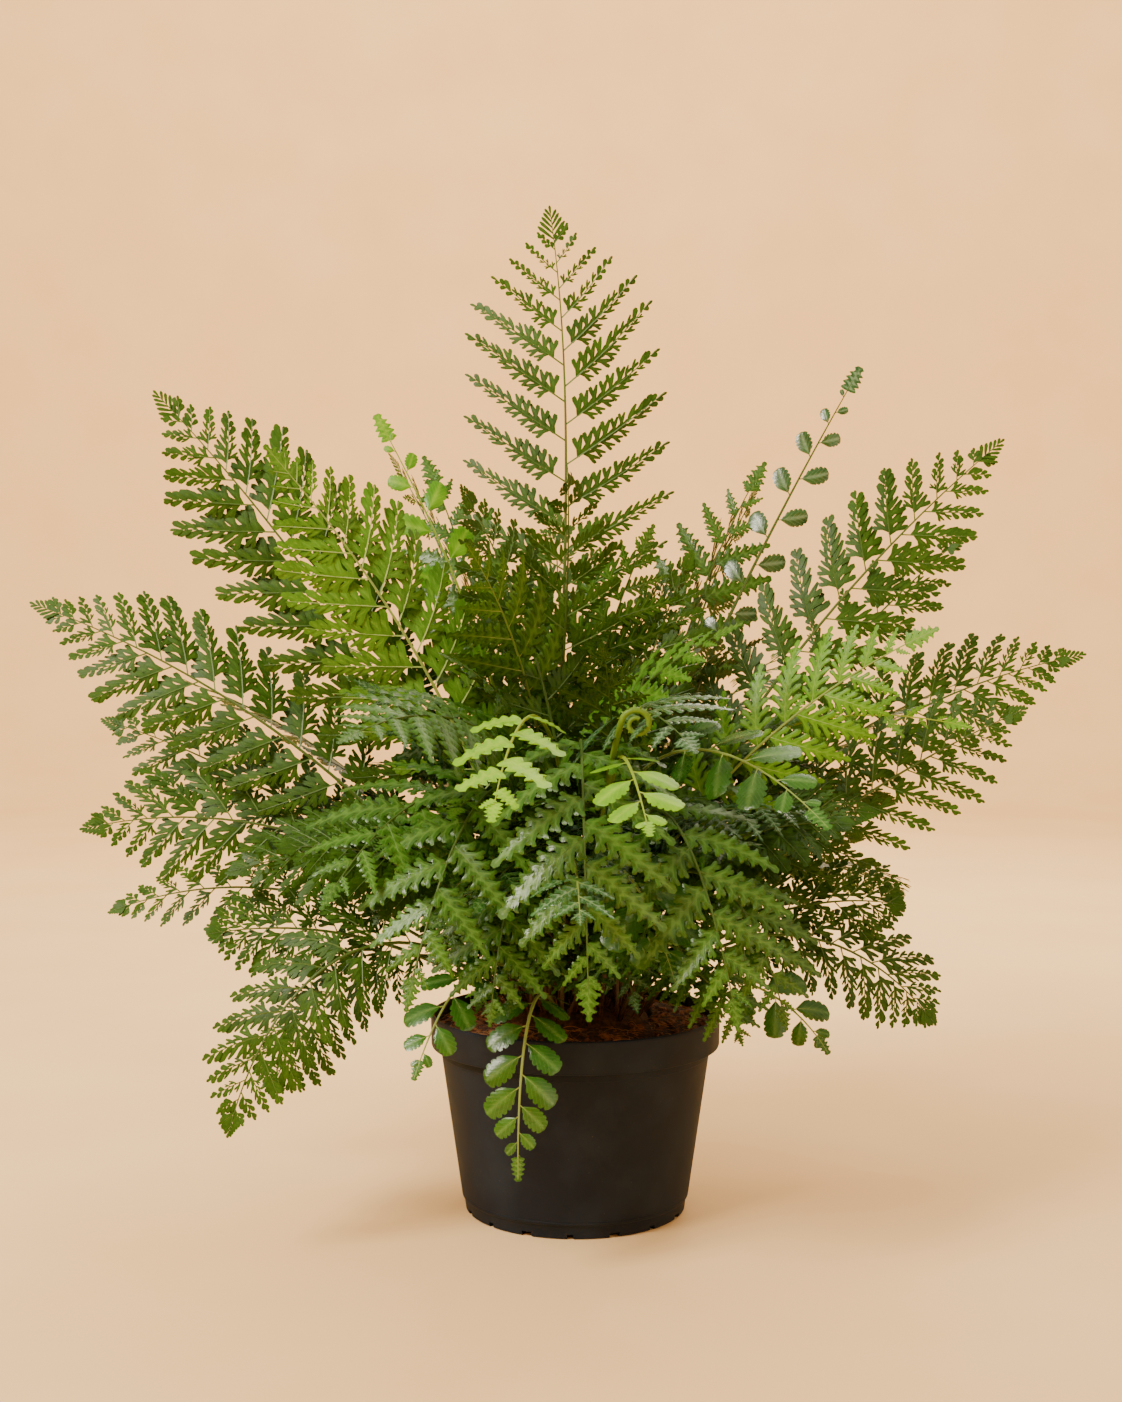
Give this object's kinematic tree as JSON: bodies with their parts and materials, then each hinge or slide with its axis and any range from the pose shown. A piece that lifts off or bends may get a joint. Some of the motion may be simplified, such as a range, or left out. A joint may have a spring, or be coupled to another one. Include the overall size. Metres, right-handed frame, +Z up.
{
  "type": "potted fern",
  "caption": "Potted fern with arching, finely divided fronds that rise from a low crown in a round, tapered nursery pot with a banded rim.",
  "frame": {"origin": "centre of the pot's flat base, on the surface that it stands on", "axes": "+Z straight up the pot's axis, -Y towards the front that the picture shows, +X to the viewer's right"},
  "size_m": [0.62, 0.5113, 0.59],
  "materials": {
    "black_plastic": "matt charcoal-black moulded plastic with a faint grain",
    "potting_soil": "loose brown mix of bark and coir",
    "brown_rhizome": "rough brown rhizome covered with scales and old stem stubs",
    "dark_frond": "satin dark green leaf",
    "green_frond": "satin mid-green leaf",
    "glossy_frond": "glossy dark green leaf",
    "young_frond": "soft yellow-green young leaf"
  },
  "bodies": {
    "root": {"apron_left": "green_frond", "apron_mid": "green_frond", "apron_right": "green_frond", "back_high_1": "dark_frond", "back_high_2": "dark_frond", "back_low_1": "dark_frond", "back_low_2": "dark_frond", "back_low_3": "dark_frond", "back_low_4": "dark_frond", "back_mid_1": "dark_frond", "back_mid_2": "dark_frond", "back_mid_3": "dark_frond", "back_mid_4": "dark_frond", "back_mid_5": "dark_frond", "blue_centre": "green_frond", "bright_right": "green_frond", "centre_left": "green_frond", "centre_left2": "green_frond", "crown": "brown_rhizome", "dark_centre": "glossy_frond", "droop_left": "dark_frond", "droop_left2": "dark_frond", "droop_right": "dark_frond", "fiddlehead_front": "young_frond", "fiddlehead_side": "young_frond", "glossy_right": "glossy_frond", "holly_right": "glossy_frond", "left_curl": "dark_frond", "left_high": "dark_frond", "left_low": "dark_frond", "left_mid": "dark_frond", "left_spray": "dark_frond", "light_left": "green_frond", "lobed_left": "young_frond", "low_left": "green_frond", "low_right": "green_frond", "pot": "black_plastic", "right_back": "dark_frond", "right_high": "dark_frond", "right_low": "dark_frond", "right_spray": "dark_frond", "rim_left": "glossy_frond", "rim_right": "glossy_frond", "rim_right2": "green_frond", "slender": "glossy_frond", "soil": "potting_soil", "tall": "dark_frond", "top_back": "green_frond", "top_centre": "green_frond", "top_centre2": "green_frond", "trail": "glossy_frond", "under_mid": "green_frond", "upper_left": "dark_frond", "upper_right": "dark_frond", "upper_right2": "green_frond", "young_left": "young_frond", "young_mid": "young_frond", "young_right": "young_frond"}
  },
  "joints": []
}
